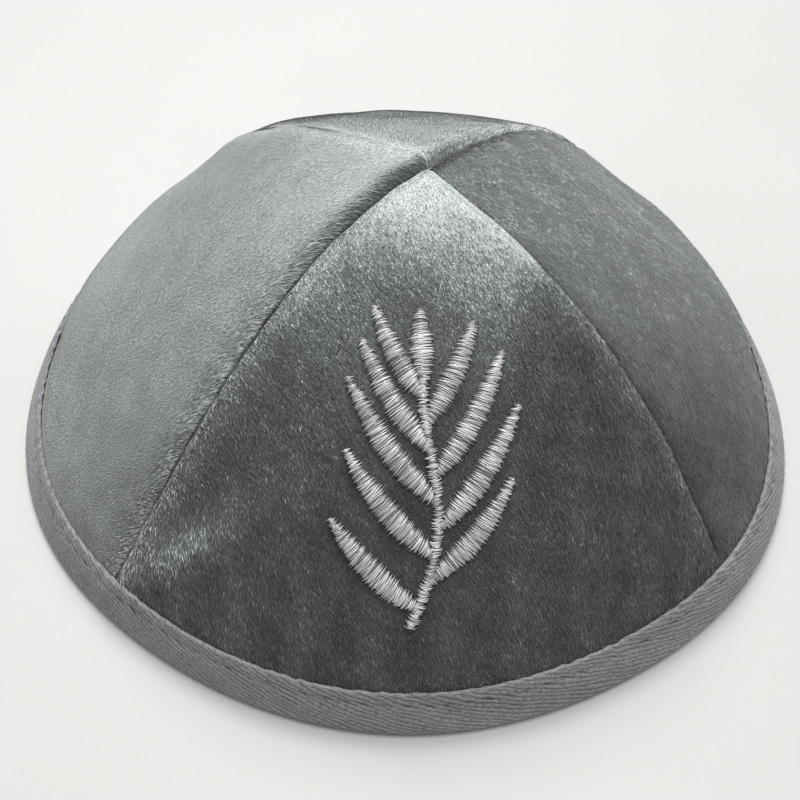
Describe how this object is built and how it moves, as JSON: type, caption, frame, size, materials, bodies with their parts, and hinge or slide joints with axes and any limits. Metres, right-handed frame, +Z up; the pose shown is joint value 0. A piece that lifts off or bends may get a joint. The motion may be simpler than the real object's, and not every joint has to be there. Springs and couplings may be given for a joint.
{
  "type": "kippah skullcap",
  "caption": "Soft domed skullcap of grey velvet panels, with a folded twill tape round its rim and a silver leafy sprig embroidered on the front. Worn on the crown of the head.",
  "frame": {"origin": "centre of the rim's outline, on the surface that the rim rests on", "axes": "+Z up to the apex, -Y out through the front panel with the sprig, +X to the viewer's right"},
  "size_m": [0.1698, 0.17, 0.0617],
  "materials": {
    "velvet": "short silky pile, grey, lighter where it lies towards the light",
    "twill_tape": "matt diagonal twill",
    "silver_thread": "bright silky satin stitch"
  },
  "bodies": {
    "root": {"panel_front": "velvet", "panel_right": "velvet", "panel_back": "velvet", "panel_left": "velvet", "rim_binding": "twill_tape", "embroidered_sprig": "silver_thread"}
  },
  "joints": []
}
